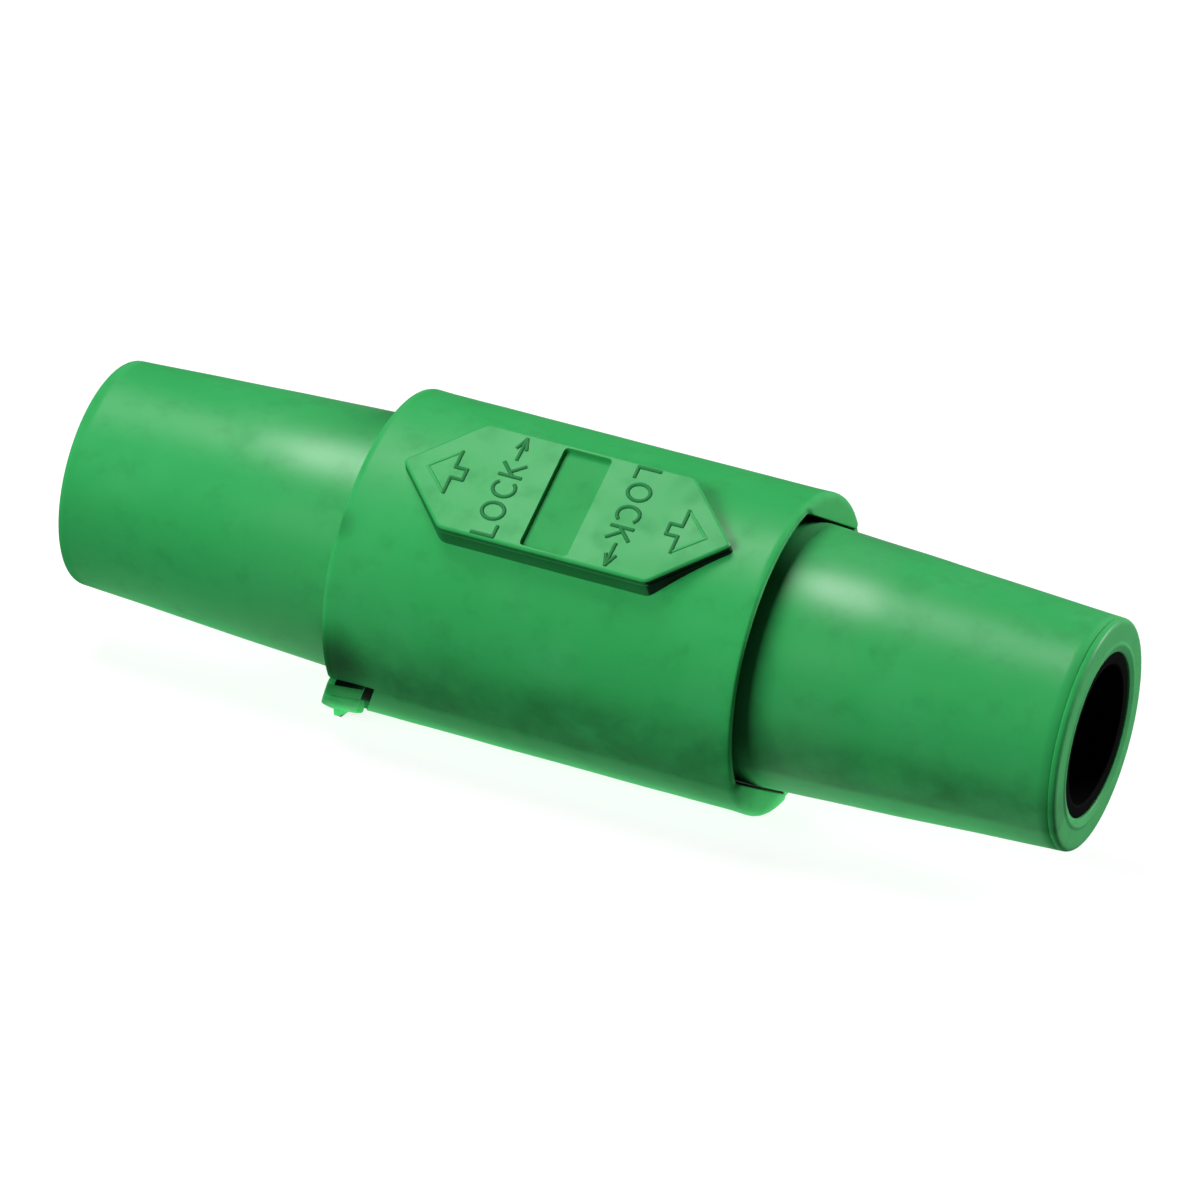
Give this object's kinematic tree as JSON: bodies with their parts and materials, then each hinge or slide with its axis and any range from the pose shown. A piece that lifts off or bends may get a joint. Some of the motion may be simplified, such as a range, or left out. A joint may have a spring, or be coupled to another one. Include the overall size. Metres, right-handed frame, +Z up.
{
  "type": "cam-lock gender changer",
  "caption": "Straight single-pole cam-lock adapter with a rubber body, a raised grip pad on the thick middle and a socket at each end.",
  "frame": {"origin": "centre of the footprint, on the table plane that the adapter lies on", "axes": "+X along the adapter from one socket to the other, +Z up, -Y the side that the grip pad leans towards"},
  "size_m": [0.1458, 0.0444, 0.0462],
  "materials": {
    "green_rubber": "satin moulded",
    "black_nylon": "matte",
    "brass": "turned",
    "pin_steel": "ground"
  },
  "bodies": {
    "root": {"centre_sleeve": "green_rubber", "nose_right": "green_rubber", "nose_left": "green_rubber", "guard_ring_right": "black_nylon", "guard_ring_left": "black_nylon", "contact_bar": "brass", "cam_pin_right": "pin_steel", "cam_pin_left": "pin_steel"}
  },
  "joints": []
}
